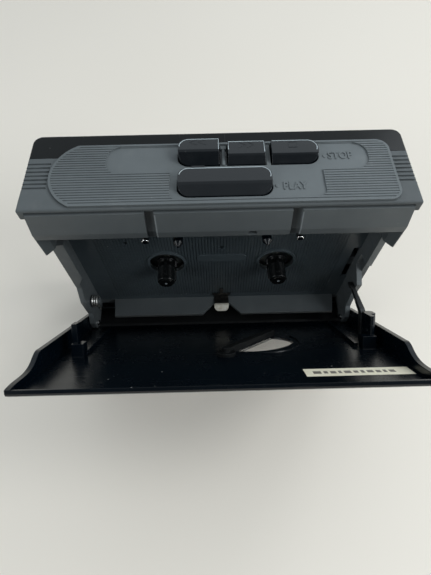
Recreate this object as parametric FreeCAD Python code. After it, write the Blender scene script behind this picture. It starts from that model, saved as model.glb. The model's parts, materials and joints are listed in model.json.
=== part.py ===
"""Pocket cassette player standing on the narrow face beside its door hinge, with the door open.

Frame: X along the long side, Y from the door side (-Y) to the rear (+Y), Z up.
The origin is the centre of the bottom face.  All sizes are in millimetres.
"""
import FreeCAD, Part
import math
import os

from FreeCAD import Vector

# ---- driving dimensions -------------------------------------------------------------------
WIDTH = 115.0            # case along X
DEPTH = 30.0             # case along Y
HEIGHT = 88.0            # case along Z
WALL = 2.0               # case wall
SPLIT_Y = 5.1            # seam between the middle shell and the rear cover
SHIFT_X = 1.0            # the tape mechanism sits this far to the right of the case centre
RUN_GAP = 0.05           # radial clearance of a shaft in its bearing

FRAME_HALF = 55.5        # outer half width of the front frame, inside the case and door walls
FRAME_WALL = 2.0
BAND_FRONT_Y = -17.1     # lower, upright part of the band
BAND_TOP_FRONT_Y = -15.5 # the band slopes back to here at its top
BAND_BEND_Z = 79.4
BAND_LOW_Z = 76.8
BAND_TOP_Z = 86.35
RAIL_FRONT_Y = -12.0
LEFT_RAIL_WIDTH = 4.2
RIGHT_RAIL_WIDTH = 2.3

DECK_FRONT_Y = -3.7
DECK_THICK = 1.0
DECK_TOP_Z = 82.0
SHELF_Z = 12.3

SPINDLE_SPACING = 42.5
SPINDLE_Z = 41.9
SPINDLE_TIP_Y = -13.2
CAPSTAN_Z = 69.0
CAPSTAN_OFFSET = 25.0    # from the mechanism centre line
CAPSTAN_R = 1.2
LOCATOR_Z = 67.0
LOCATOR_OFFSET = 14.6
LOCATOR_R = 1.6
LOCATOR_STEM_R = 1.1
LOCATOR_TIP_Y = -13.9

HINGE_Y = -15.2
HINGE_Z = 12.4
HINGE_PIN_R = 1.2
DOOR_ANGLE = 37.2        # how far the door stands open
DOOR_LENGTH = 75.0       # hinge axis to free edge
DOOR_LOW = -3.0          # hinge axis to the lower edge
DOOR_OUT = -3.9          # outer face, measured inward from the hinge axis
DOOR_SKIN = 1.4
DOOR_IN = 4.0            # edge of the side walls, measured inward from the hinge axis
DOOR_WALL = 1.6

PANEL_TOP_Z = 88.7
PANEL_LOW_Z = 87.2
RIB_PITCH = 0.95
KEY_TOP_Z = 90.5
REWIND_TOP_Z = 91.7
KEY_LOW_Z = 85.9
KEY_TRAVEL = 2.4

SPINDLE_R = 3.2
RING_R = 7.5             # raised ring of the deck around each spindle
RING_HOLE_R = 6.7
ARM_SLOT_X = (50.9, 60.0)
COIL_CENTRE = (-11.0, 25.0)
COIL_X = (-52.9, -50.2)

LEFT_X = SHIFT_X - SPINDLE_SPACING / 2
RIGHT_X = SHIFT_X + SPINDLE_SPACING / 2
CAPSTAN_X = SHIFT_X - CAPSTAN_OFFSET
LOCATOR_XS = (SHIFT_X - LOCATOR_OFFSET, SHIFT_X + LOCATOR_OFFSET)
HALF_W = WIDTH / 2
HALF_D = DEPTH / 2
DECK_BACK_Y = DECK_FRONT_Y + DECK_THICK

CHASSIS_Y = (-1.5, -0.7)
DISC_Y = (0.0, 1.8)
DISC_R = 11.0
IDLER_R = 6.75
PINION_R = 3.0
FLYWHEEL_Y = (7.5, 11.0)
FLYWHEEL_R = 15.0
BELT_Y = (8.6, 9.6)
BELT_THICK = 1.0
PULLEY_R = 2.5
MOTOR_X = 20.0
MOTOR_Z = 64.0
MOTOR_R = 10.5
BOARD_Y = (10.6, 11.8)
BOSS_POINTS = [(-52.8, 83.0), (52.8, 83.0), (-52.8, 38.0), (52.8, 38.0)]
CHASSIS_SCREWS = [(-46.0, 24.0), (46.0, 24.0), (-46.0, 78.0), (46.0, 78.0)]
JACK_Y = 9.5
JACK_Z = 51.0
JACK_BORE_R = 1.8
WHEEL_X = 50.3
WHEEL_Z = 67.0
WHEEL_R = 8.0
PINCH_PIVOT = (-38.0, 78.0)
PINCH_ROLLER = (-24.5, 76.3)

# key name: (low X, high X, low Y, high Y, front slope depth, top Z, rounded ends)
KEYS = {
    "rewind_key": (-11.9, 0.3, 0.5, 8.3, 3.2, REWIND_TOP_Z, "left"),
    "fast_forward_key": (2.9, 14.0, 0.5, 8.3, 2.4, KEY_TOP_Z, "none"),
    "stop_key": (16.0, 29.9, 0.5, 8.3, 2.2, KEY_TOP_Z, "right"),
    "play_key": (-11.9, 15.2, -11.4, -2.3, 3.6, KEY_TOP_Z, "both"),
}
KEY_GAP = 0.35
KEY_END_R = 3.2


# ---- helpers ------------------------------------------------------------------------------
def box(x0, x1, y0, y1, z0, z1):
    return Part.makeBox(x1 - x0, y1 - y0, z1 - z0, Vector(x0, y0, z0))


def cyl_x(y, z, r, x0, x1):
    return Part.makeCylinder(r, x1 - x0, Vector(x0, y, z), Vector(1, 0, 0))


def cyl_y(x, z, r, y0, y1):
    return Part.makeCylinder(r, y1 - y0, Vector(x, y0, z), Vector(0, 1, 0))


def cyl_z(x, y, r, z0, z1):
    return Part.makeCylinder(r, z1 - z0, Vector(x, y, z0), Vector(0, 0, 1))


def line(start, end):
    return Part.LineSegment(start, end).toShape()


def arc(start, middle, end):
    return Part.Arc(start, middle, end).toShape()


def polygon(points):
    return Part.Face(Part.makePolygon(points + [points[0]]))


def prism_x(yz, x0, x1):
    return polygon([Vector(x0, y, z) for y, z in yz]).extrude(Vector(x1 - x0, 0, 0))


def prism_y(xz, y0, y1):
    return polygon([Vector(x, y0, z) for x, z in xz]).extrude(Vector(0, y1 - y0, 0))


def prism_z(xy, z0, z1):
    return polygon([Vector(x, y, z0) for x, y in xy]).extrude(Vector(0, 0, z1 - z0))


def fuse(shapes):
    return shapes[0].multiFuse(shapes[1:]).removeSplitter()


def compound(shapes):
    return Part.makeCompound(shapes)


def both_sides(shape):
    return [shape, shape.mirror(Vector(0, 0, 0), Vector(1, 0, 0))]


def fillet_along(shape, radius, axis, keep=lambda centre: True):
    """Fillet the straight edges parallel to one axis whose centres pass the test."""
    edges = []
    for edge in shape.Edges:
        if edge.Curve.TypeId != "Part::GeomLine":
            continue
        direction = edge.tangentAt(edge.FirstParameter)
        if abs(getattr(direction, axis)) > 0.999 and keep(edge.CenterOfMass):
            edges.append(edge)
    return shape.makeFillet(radius, edges)


def slab_z(x0, x1, y0, y1, z0, z1, radius, keep=lambda centre: True):
    """A plate with corners rounded in plan."""
    return fillet_along(box(x0, x1, y0, y1, z0, z1), radius, "z", keep)


def slab_y(x0, x1, y0, y1, z0, z1, radius, keep=lambda centre: True):
    """A plate with corners rounded in front view."""
    return fillet_along(box(x0, x1, y0, y1, z0, z1), radius, "y", keep)


def pan_screw(x, z, head_y, tip_y, shank_r, head_r, head_h):
    """A screw whose head faces the rear at head_y and whose shank ends at tip_y."""
    head = cyl_y(x, z, head_r, head_y - head_h, head_y)
    shank = cyl_y(x, z, shank_r, tip_y, head_y - head_h)
    arm = head_r * 0.62
    cross = [
        box(x - arm, x + arm, head_y - head_h * 0.6, head_y + 1, z - 0.22, z + 0.22),
        box(x - 0.22, x + 0.22, head_y - head_h * 0.6, head_y + 1, z - arm, z + arm),
    ]
    return head.fuse(shank).cut(fuse(cross))


def coil(x, y, z0, z1, radius, wire_r, turns):
    """A helical spring along Z."""
    height = z1 - z0 - 2 * wire_r
    path = Part.makeHelix(height / turns, height, radius)
    start = Part.Wire(Part.makeCircle(wire_r, Vector(radius, 0, 0), Vector(0, 1, 0.12)))
    solid = Part.Wire(path.Edges).makePipeShell([start], True, True)
    solid.translate(Vector(x, y, z0 + wire_r))
    return solid


# ---- case ---------------------------------------------------------------------------------
def case_block(grow):
    """The outer form of the case, or the same form shrunk by a wall thickness."""
    half_w = HALF_W - grow
    block = box(-half_w, half_w, -HALF_D, HALF_D, grow, HEIGHT - grow)
    if grow:
        return block
    block = fillet_along(block, 3.0, "z", lambda c: c.y > 0)
    block = fillet_along(block, 0.5, "z", lambda c: c.y < 0)
    return fillet_along(block, 0.7, "x", lambda c: c.y > 0)


def panel_outline(z0, z1, grow=0.0):
    """Stadium-like island: a round left end and a right end with two corner arcs."""
    left, right = -42.6 - grow, 51.9 + grow
    front, rear = -14.2 - grow, 9.6 + grow
    corner = 3.8 + grow
    bulge = Vector(-49.9 - grow, (front + rear) / 2, z0)
    start, end = Vector(left, rear, z0), Vector(left, front, z0)
    edges = [arc(start, bulge, end)]
    edges.append(line(end, Vector(right - corner, front, z0)))
    k = corner * (1 - math.sqrt(0.5))
    low = Vector(right, front + corner, z0)
    edges.append(arc(Vector(right - corner, front, z0), Vector(right - k, front + k, z0), low))
    high = Vector(right, rear - corner, z0)
    edges.append(line(low, high))
    top = Vector(right - corner, rear, z0)
    edges.append(arc(high, Vector(right - k, rear - k, z0), top))
    edges.append(line(top, start))
    return Part.Face(Part.Wire(edges)).extrude(Vector(0, 0, z1 - z0))


def panel_recess(z0, z1):
    """The smooth sunk field around the keys: a long bar with a shorter block in front of it."""
    bar = slab_z(-33.7, 45.0, -2.3, 8.6, z0, z1, 4.6)
    block = slab_z(-14.4, 30.6, -12.6, 0.0, z0, z1, 2.6, lambda c: c.y < -5)
    return bar.fuse(block)


def key_wells(z0, z1):
    """One well for each key, with the same end shape as the key."""
    wells = []
    for x0, x1, y0, y1, _, _, ends in KEYS.values():
        wells.append(key_plan(x0, x1, y0, y1, ends, z0, z1, KEY_GAP))
    return compound(wells)


def key_plan(x0, x1, y0, y1, ends, z0, z1, grow):
    radius = KEY_END_R + grow
    block = box(x0 - grow, x1 + grow, y0 - grow, y1 + grow, z0, z1)
    middle = (x0 + x1) / 2
    if ends in ("left", "both"):
        block = fillet_along(block, radius, "z", lambda c: c.x < middle)
    if ends in ("right", "both"):
        block = fillet_along(block, radius, "z", lambda c: c.x > middle)
    return block


def screw_bosses():
    """Posts for the rear screws, each tied to the side wall by a web."""
    shapes = []
    for x, z in BOSS_POINTS:
        shapes.append(cyl_y(x, z, 2.6, DECK_BACK_Y + 0.3, 12.9))
        wall_x = math.copysign(HALF_W - WALL + 0.2, x)
        low, high = sorted((x, wall_x))
        shapes.append(box(low, high, DECK_BACK_Y + 0.3, SPLIT_Y, z - 1.2, z + 1.2))
    return shapes


def case_shell():
    """Middle shell: four walls, open to the front and the rear."""
    shell = case_block(0).common(box(-60, 60, -20, SPLIT_Y, -1, 100))
    shell = shell.cut(box(-HALF_W + WALL, HALF_W - WALL, -20, 20, WALL, HEIGHT - WALL))
    shell = fuse([shell] + screw_bosses())
    lip = box(-HALF_W + WALL, HALF_W - WALL, -HALF_D, -HALF_D + 1.6, WALL, 7.0)
    shell = fuse([shell, lip])
    side_step = box(HALF_W - WALL - 0.1, 60, -20, -8.5, 8.0, HEIGHT - 3.6)
    top_lip = box(-HALF_W + WALL, HALF_W - WALL, -20, -12.6, 80, HEIGHT - 1.0)
    cuts = both_sides(side_step) + [top_lip, panel_outline(PANEL_LOW_Z, 95), key_wells(80, 95)]
    cuts += [cyl_y(x, z, 0.95, 3.0, 14.0) for x, z in BOSS_POINTS]
    for index in range(7):
        y = 2.8 - index * 1.58
        cuts += both_sides(box(50.2, 60, y - 0.35, y + 0.35, HEIGHT - 0.45, HEIGHT + 1))
        cuts += both_sides(box(HALF_W - 0.45, 60, y - 0.35, y + 0.35, 58.0, HEIGHT + 1))
    return shell.cut(compound(cuts))


def rear_cover():
    """Rear tray: the back wall with four short walls."""
    shell = case_block(0).common(box(-60, 60, SPLIT_Y, 20, -1, 100))
    shell = shell.cut(box(-HALF_W + WALL, HALF_W - WALL, 0, HALF_D - WALL, WALL, HEIGHT - WALL))
    cuts = [panel_outline(PANEL_LOW_Z, 95), key_wells(80, 95)]
    for x, z in BOSS_POINTS:
        cuts += [cyl_y(x, z, 1.1, 12.0, 16.0), cyl_y(x, z, 2.3, 13.9, 16.0)]
    cuts.append(box(-46.0, 46.4, 13.7, 16.0, 2.8, 18.2))
    cuts.append(box(-43.0, 43.0, 12.0, 16.0, 4.2, 16.8))
    cuts.append(box(HALF_W - 3, 60, 7.2, 10.4, WHEEL_Z - 6.2, WHEEL_Z + 6.2))
    cuts.append(cyl_x(JACK_Y, JACK_Z, 3.1, HALF_W - 3, 60))
    return shell.cut(compound(cuts))


def key_panel():
    """Raised control panel with fine ribs along X, a smooth recess and the key wells."""
    plate = panel_outline(PANEL_LOW_Z, PANEL_TOP_Z)
    recess_floor = PANEL_TOP_Z - 0.45
    grooves = [panel_recess(recess_floor, 95)]
    count = int(23.0 / RIB_PITCH)
    for index in range(count):
        y = -13.6 + index * RIB_PITCH
        grooves.append(box(-60, 60, y + 0.3, y + 0.65, PANEL_TOP_Z - 0.25, 95))
    rim = panel_outline(PANEL_LOW_Z, PANEL_TOP_Z, -0.7)
    ribbed = rim.cut(compound(grooves))
    border = plate.cut(rim).cut(panel_recess(recess_floor, 95))
    return fuse([ribbed, border]).cut(key_wells(80, 95))


# ---- keys ---------------------------------------------------------------------------------
def key_cap(name):
    """A key with a flat top that slopes and rounds down towards the front."""
    x0, x1, y0, y1, slope, top, ends = KEYS[name]
    block = key_plan(x0, x1, y0, y1, ends, KEY_LOW_Z, top, 0.0)
    nose = prism_x([(y0 - 1, HEIGHT + 0.4), (y0, HEIGHT + 0.4), (y0 + slope * 0.8, top - 0.35),
                    (y0 + slope, top), (y0 + slope, top + 1), (y0 - 1, top + 1)], x0 - 1, x1 + 1)
    block = block.cut(nose)
    rear = prism_x([(y1 - 0.5, top + 1), (y1 - 0.5, top), (y1 + 0.01, top - 0.6), (y1 + 1, top - 0.6),
                    (y1 + 1, top + 1)], x0 - 1, x1 + 1)
    return block.cut(rear)


LEVERS = {
    "rewind_lever": ("rewind_key", -5.8, 4.6),
    "fast_forward_lever": ("fast_forward_key", 8.5, 4.6),
    "stop_lever": ("stop_key", 23.0, 4.6),
    "play_lever": ("play_key", 1.6, 0.6),
}
LEVER_HALF = 1.0
LEVER_LOW_Z = 80.0
SPRING_TAB_Z = 75.4


def key_lever(name):
    """Steel strip that carries the key's stroke down to the mechanism."""
    key, x, y = LEVERS[name]
    y0 = KEYS[key][2]
    strip = box(x - LEVER_HALF, x + LEVER_HALF, y, y + 0.8, LEVER_LOW_Z, KEY_LOW_Z)
    front = min(y, y0 + 4.0)
    foot = box(x - LEVER_HALF, x + LEVER_HALF, front, y + 0.8, KEY_LOW_Z - 0.8, KEY_LOW_Z)
    return fuse([strip, foot])


def key_spring(name):
    _, x, y = LEVERS[name]
    return coil(x, y + 0.4, SPRING_TAB_Z, LEVER_LOW_Z, 0.9, 0.15, 5)


# ---- front frame and deck -----------------------------------------------------------------
def front_frame():
    """Band above the cassette well, side walls, rails, hinge lugs and the shelf below."""
    profile = [(BAND_FRONT_Y, BAND_LOW_Z), (BAND_FRONT_Y, BAND_BEND_Z), (BAND_TOP_FRONT_Y, BAND_TOP_Z),
               (-13.0, BAND_TOP_Z), (-13.0, BAND_TOP_Z - 1.1), (-14.2, BAND_TOP_Z - 1.1),
               (BAND_FRONT_Y + 1.4, BAND_BEND_Z), (BAND_FRONT_Y + 1.4, BAND_LOW_Z)]
    band = prism_x(profile, -FRAME_HALF, FRAME_HALF)
    inner = FRAME_HALF - FRAME_WALL
    pieces = [band, side_wall(LEFT_WALL).mirror(Vector(0, 0, 0), Vector(1, 0, 0))]
    pieces.append(side_wall(RIGHT_WALL))
    pieces += both_sides(cyl_x(HINGE_Y, HINGE_Z, 2.3, inner, FRAME_HALF))
    left_rail = [(-FRAME_HALF, 37.0), (-FRAME_HALF + LEFT_RAIL_WIDTH, 45.0),
                 (-FRAME_HALF + LEFT_RAIL_WIDTH, 66.9), (-FRAME_HALF, 66.9)]
    pieces.append(prism_y(left_rail, RAIL_FRONT_Y, -9.8))
    rail_x = FRAME_HALF - RIGHT_RAIL_WIDTH
    pieces.append(box(rail_x, FRAME_HALF, RAIL_FRONT_Y, -9.8, 50.0, 66.9))
    shelf = box(-inner, inner, -12.2, DECK_FRONT_Y, SHELF_Z - 1.5, SHELF_Z)
    right_corner = prism_z([(49.7, -14), (60, -14), (60, -3.7), (51.3, -3.7)], 0, 20)
    left_corner = prism_z([(-46.1, -14), (-60, -14), (-60, -3.7), (-47.0, -3.7)], 0, 20)
    notch = prism_z([(-9.3, -14), (11.4, -14), (4.8, -7.4), (-2.7, -7.4)], 0, 20)
    pieces.append(shelf.cut(compound([right_corner, left_corner, notch])))
    pieces.append(box(-inner, inner, DECK_FRONT_Y, DECK_BACK_Y, 9.0, SHELF_Z))
    pieces.append(cyl_x(*COIL_CENTRE, 1.5, -inner - 0.1, COIL_X[1] + 0.5))
    frame = fuse(pieces)
    cuts = []
    groove = [(-20, 70), (BAND_FRONT_Y + 0.5, 70), (BAND_FRONT_Y + 0.5, BAND_BEND_Z),
              (BAND_TOP_FRONT_Y + 1.6, BAND_TOP_Z), (-13.2, 90), (-20, 90)]
    for x in (LEFT_X, RIGHT_X):
        cuts.append(prism_x(groove, x - 1.4, x + 1.4))
    cuts.append(box(8.4, 11.0, -20, -10, BAND_LOW_Z + 0.6, BAND_LOW_Z + 2.2))
    chamfer = [(-20, BAND_BEND_Z), (BAND_FRONT_Y, BAND_BEND_Z), (BAND_FRONT_Y + 0.35, 70), (-20, 70)]
    cuts.append(prism_x(chamfer, -60, 60))
    ear_bevel = [(-FRAME_HALF + 0.15, -17.4), (-FRAME_HALF + 0.15, -17.1), (-inner, -13.6),
                 (-inner + 0.2, -13.6), (-inner + 0.2, -17.4)]
    cuts += both_sides(prism_z(ear_bevel, 60, BAND_LOW_Z))
    cuts += both_sides(cyl_x(HINGE_Y, HINGE_Z, HINGE_PIN_R + RUN_GAP, 50, 60))
    return frame.cut(compound(cuts))


# Front outlines of the two side walls below the ears, as Y and Z, from the rail down.
LEFT_WALL = [(RAIL_FRONT_Y, 38.0), (-14.95, 31.1), (-14.6, 20.4)]
RIGHT_WALL = [(RAIL_FRONT_Y, 49.3), (-5.8, 47.9), (-5.8, 41.4), (-13.2, 37.2), (-12.9, 30.0),
              (-13.9, 20.4)]


def side_wall(steps):
    """One side wall on the right, from the band down to the hinge lug."""
    top = [(-13.0, BAND_TOP_Z), (BAND_TOP_FRONT_Y, BAND_TOP_Z), (BAND_FRONT_Y, BAND_BEND_Z),
           (BAND_FRONT_Y + 0.45, 68.2), (RAIL_FRONT_Y, 66.6)]
    low = [(HINGE_Y - 2.2, 16.5), (HINGE_Y - 2.2, HINGE_Z), (HINGE_Y, 9.0), (DECK_BACK_Y, 9.0),
           (DECK_BACK_Y, 85.8), (-13.0, 85.8)]
    return prism_x(top + steps + low, FRAME_HALF - FRAME_WALL, FRAME_HALF)


def deck_ribs():
    """Shallow grooves between fine vertical ribs over the middle of the deck."""
    grooves = []
    count = 82
    for index in range(count):
        x = SHIFT_X - 46.0 + index * 1.13
        grooves.append(box(x, x + 0.5, -10, DECK_FRONT_Y + 0.22, 15.0, 76.0))
    return compound(grooves)


def deck_panel():
    """Ribbed deck cover with spindle rings, an oval pad, corner pads and small holes."""
    inner = FRAME_HALF - FRAME_WALL
    plate = box(-inner, inner, DECK_FRONT_Y, DECK_BACK_Y, SHELF_Z, DECK_TOP_Z).cut(deck_ribs())
    raised = [slab_y(SHIFT_X - 9.5, SHIFT_X + 9.5, DECK_FRONT_Y - 0.25, DECK_BACK_Y, 42.4, 46.6, 2.05)]
    for x in (LEFT_X, RIGHT_X):
        raised.append(cyl_y(x, SPINDLE_Z, RING_R, DECK_FRONT_Y - 0.7, DECK_BACK_Y))
    raised.append(box(-44.0, -35.0, DECK_FRONT_Y - 0.9, DECK_BACK_Y, 60.0, 72.0))
    raised.append(box(41.0, 46.5, DECK_FRONT_Y - 0.9, DECK_BACK_Y, 62.0, 72.0))
    for x, z in CHASSIS_SCREWS:
        raised.append(cyl_y(x, z, 2.4, DECK_BACK_Y - 0.2, CHASSIS_Y[0]))
    plate = fuse([plate] + raised)
    cuts = [cyl_y(x, SPINDLE_Z, RING_HOLE_R, -10, 0) for x in (LEFT_X, RIGHT_X)]
    cuts += [cyl_y(x, LOCATOR_Z, LOCATOR_STEM_R, -10, 0) for x in LOCATOR_XS]
    cuts += [cyl_y(x, CAPSTAN_Z, 2.4, -10, 0) for x in (CAPSTAN_X, SHIFT_X + CAPSTAN_OFFSET)]
    cuts += [cyl_y(x, z, 0.8, DECK_FRONT_Y + 0.4, 0) for x, z in CHASSIS_SCREWS]
    cuts += [cyl_y(x, z, 1.0, -10, 0) for x, z in ((-39.5, 66.0), (-34.0, 55.0), (SHIFT_X, 51.0))]
    cuts.append(box(SHIFT_X - 9.5, SHIFT_X + 9.5, -10, 0, 77.5, 90))
    cuts.append(cyl_y(*PINCH_PIVOT, 1.2, -10, 0))
    cuts.append(box(*ARM_SLOT_X, -10, 0, 28.0, 49.0))
    return plate.cut(compound(cuts))


def cassette_spring():
    """Leaf spring in the notch of the shelf, held by a crossbar with a small tab."""
    x0, x1 = SHIFT_X - 3.15, SHIFT_X + 3.25
    foot = DECK_FRONT_Y - 0.4
    profile = [(DECK_FRONT_Y, 15.6), (foot, 15.6), (foot, SHELF_Z + 0.4), (-8.4, SHELF_Z + 0.9),
               (-10.8, SHELF_Z - 0.2), (-10.7, SHELF_Z - 0.6), (-8.4, SHELF_Z + 0.5),
               (foot, SHELF_Z), (DECK_FRONT_Y, SHELF_Z)]
    leaf = prism_x(profile, x0, x1)
    rounded = slab_z(x0, x1, -10.85, 0, 0, 30, 2.2, lambda c: c.y < -10)
    bar = box(x0 - 0.7, x1 + 0.7, foot - 0.3, DECK_FRONT_Y, 15.1, 15.9)
    tab = box(SHIFT_X - 0.6, SHIFT_X + 0.7, foot, DECK_FRONT_Y, 15.5, 20.0)
    return fuse([leaf.common(rounded), bar, tab])


def locating_pins():
    """Two tapered posts that centre the cassette."""
    pins = []
    for x in LOCATOR_XS:
        shank = cyl_y(x, LOCATOR_Z, LOCATOR_R, LOCATOR_TIP_Y + 1.6, DECK_FRONT_Y)
        stem = cyl_y(x, LOCATOR_Z, LOCATOR_STEM_R, DECK_FRONT_Y, CHASSIS_Y[0])
        at = Vector(x, LOCATOR_TIP_Y, LOCATOR_Z)
        tip = Part.makeCone(0.4, LOCATOR_R, 1.6, at, Vector(0, 1, 0))
        pins.append(fuse([shank, stem, tip]))
    return compound(pins)


def steel_pin(x, rear_y):
    """A hardened pin with a bevelled tip at the height of the capstan."""
    pin = cyl_y(x, CAPSTAN_Z, CAPSTAN_R, SPINDLE_TIP_Y, rear_y)
    tip = [edge for edge in pin.Edges if abs(edge.CenterOfMass.y - SPINDLE_TIP_Y) < 0.01]
    return pin.makeFillet(0.4, tip)


def guide_pin():
    """Steel reference pin that mirrors the capstan."""
    return steel_pin(SHIFT_X + CAPSTAN_OFFSET, CHASSIS_Y[0])


# ---- door ---------------------------------------------------------------------------------
def open_door(shape):
    """Turn a shape modelled on the closed door to the open position."""
    return shape.rotate(Vector(0, HINGE_Y, HINGE_Z), Vector(1, 0, 0), DOOR_ANGLE)


def door_point(s, t):
    """Closed-door place of a point s along the door and t inward from the hinge axis."""
    return HINGE_Y + t, HINGE_Z + s


def door_box(x0, x1, s0, s1, t0, t1):
    return box(x0, x1, HINGE_Y + t0, HINGE_Y + t1, HINGE_Z + s0, HINGE_Z + s1)


def door_prism(st, x0, x1):
    return prism_x([door_point(s, t) for s, t in st], x0, x1)


def door_side():
    """Side wall: deep along the cassette and drawn in near the free edge for the fingers."""
    start = DOOR_LENGTH
    lower = [door_point(DOOR_LOW, DOOR_OUT), door_point(start, DOOR_OUT), door_point(start, -0.5)]
    edges = [line(Vector(0, *a), Vector(0, *b)) for a, b in zip(lower, lower[1:])]
    curve = [(start, -0.5), (66.5, 0.0), (62.0, 0.45), (58.5, 1.9), (56.0, 3.5), (53.0, DOOR_IN)]
    spline = Part.BSplineCurve()
    spline.interpolate([Vector(0, *door_point(s, t)) for s, t in curve])
    edges.append(spline.toShape())
    upper = [(53.0, DOOR_IN), (0.5, DOOR_IN), (-3.0, 0.8), (-3.2, -1.2), (DOOR_LOW, DOOR_OUT)]
    places = [Vector(0, *door_point(s, t)) for s, t in upper]
    edges += [line(a, b) for a, b in zip(places, places[1:])]
    face = Part.Face(Part.Wire(edges))
    wall = face.extrude(Vector(DOOR_WALL, 0, 0))
    wall.translate(Vector(HALF_W - DOOR_WALL, 0, 0))
    return wall


# Window corners as X and distance along the door, from the left end of the straight edge.
WINDOW_START = (5.5, 39.2)
WINDOW_TOP = (19.9, 21.5)
WINDOW_TIP = (26.5, 30.1)
WINDOW_UPPER_BULGE = (24.2, 24.0)
WINDOW_LOWER_BULGE = (20.4, 36.8)


def on_door(x, s, t):
    return Vector(x, *door_point(s, t))


def window_outline(t0, t1):
    """A teardrop: one straight edge and two arcs that meet at the right tip."""
    start = on_door(*WINDOW_START, t0)
    top = on_door(*WINDOW_TOP, t0)
    tip = on_door(*WINDOW_TIP, t0)
    edges = [
        line(start, top),
        arc(top, on_door(*WINDOW_UPPER_BULGE, t0), tip),
        arc(tip, on_door(*WINDOW_LOWER_BULGE, t0), start),
    ]
    return Part.Face(Part.Wire(edges)).extrude(Vector(0, t1 - t0, 0))


def door():
    """Tray with a skin, two side walls, a free-edge lip, guide posts and inner ribs."""
    skin_in = DOOR_OUT + DOOR_SKIN
    skin = door_box(-HALF_W, HALF_W, DOOR_LOW, DOOR_LENGTH, DOOR_OUT, skin_in)
    lip = door_prism([(72.0, DOOR_OUT), (DOOR_LENGTH, DOOR_OUT), (DOOR_LENGTH, -0.6),
                      (74.2, -0.6), (72.0, skin_in)], -HALF_W, HALF_W)
    body = fuse([skin, lip] + both_sides(door_side()))
    thin_edge = door_prism([(70.0, DOOR_OUT), (73.0, -3.1), (74.6, -2.3), (75.0, -1.6), (76.5, -1.6),
                            (76.5, -5.0), (70.0, -5.0)], -60, 60)
    body = body.cut(thin_edge)
    posts = [
        door_box(-51.1, -47.0, 37.2, 41.6, skin_in - 0.2, 2.0),
        door_box(-51.1, -49.3, 36.2, 40.0, skin_in - 0.2, 8.6),
        door_box(48.4, 53.0, 36.6, 40.6, skin_in - 0.2, 2.0),
        fillet_along(door_box(51.4, 55.1, 29.8, 34.6, skin_in - 0.2, 8.6), 1.1, "y"),
        fillet_along(door_box(51.4, 53.0, 31.0, 39.0, skin_in - 0.2, 8.6), 0.7, "y"),
        door_box(-47.8, -46.6, 4.0, 37.2, skin_in - 0.2, -1.2),
        door_box(46.6, 47.8, 4.0, 37.2, skin_in - 0.2, -1.2),
    ]
    body = fuse([body] + posts)
    cuts = [window_outline(DOOR_OUT - 1, skin_in + 1)]
    cuts += both_sides(cyl_x(HINGE_Y, HINGE_Z, HINGE_PIN_R, 50, 60))
    cuts.append(door_box(23.6, 55.2, 58.6, 65.2, skin_in - 0.15, skin_in + 1))
    return open_door(body.cut(compound(cuts)))


def door_window():
    """Clear pane bonded behind the opening, flush with the outer face."""
    return open_door(window_outline(DOOR_OUT + 0.3, DOOR_OUT + 1.3))


def window_bar():
    """Raised bar along the straight edge of the window, with a round foot."""
    skin_in = DOOR_OUT + DOOR_SKIN
    run = (WINDOW_TOP[0] - WINDOW_START[0], WINDOW_TOP[1] - WINDOW_START[1])
    length = math.hypot(*run)
    along = (run[0] / length, run[1] / length)
    aside = (along[1], -along[0])

    def at(distance, offset):
        return on_door(WINDOW_START[0] + along[0] * distance + aside[0] * offset,
                       WINDOW_START[1] + along[1] * distance + aside[1] * offset, skin_in)

    corners = [at(-5.0, 0.3), at(length + 2.4, 0.3), at(length + 2.4, 3.1), at(-5.0, 3.1)]
    bar = polygon(corners).extrude(Vector(0, 2.2, 0))
    foot_at = at(-5.4, 0.9)
    foot = cyl_y(foot_at.x, foot_at.z, 3.2, foot_at.y, foot_at.y + 1.0)
    hub = cyl_y(foot_at.x, foot_at.z, 1.2, foot_at.y, foot_at.y + 2.6)
    return open_door(fuse([bar, foot, hub]))


def door_label():
    skin_in = DOOR_OUT + DOOR_SKIN
    return open_door(door_box(23.8, 55.0, 58.8, 65.0, skin_in - 0.15, skin_in - 0.05))


def door_hinge_pins():
    pins = both_sides(cyl_x(HINGE_Y, HINGE_Z, HINGE_PIN_R, 52.6, HALF_W))
    return compound(pins)


def door_stop_arm():
    """Thin tapered arm beside the tall post, which runs back through a slot of the deck."""
    outline = [(29.7, DOOR_OUT + DOOR_SKIN), (29.7, 8.0), (28.4, 9.2), (14.5, 17.4), (13.9, 16.6),
               (26.6, 7.6), (27.2, DOOR_OUT + DOOR_SKIN)]
    arm = door_prism(outline, 51.4, 53.2)
    taper = [Vector(x, 0, HINGE_Z + s) for x, s in ((50, 12), (52.2, 12), (51.4, 27.0), (50, 27.0))]
    return open_door(arm.cut(polygon(taper).extrude(Vector(0, -30, 0))))


def door_torsion_spring():
    """Turns on a boss of the left wall and a leg that runs down beside the shelf."""
    wire, radius = 0.32, 2.2
    y, z = COIL_CENTRE
    turns = []
    for index in range(3):
        x = COIL_X[0] + 0.4 + 0.95 * index
        turns.append(Part.makeTorus(radius, wire, Vector(x, y, z), Vector(1, 0, 0)))
    leg = cyl_z(COIL_X[0] + 0.4, y + radius, wire, SHELF_Z + 0.5, z - 0.4)
    return compound(turns + [leg])


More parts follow.
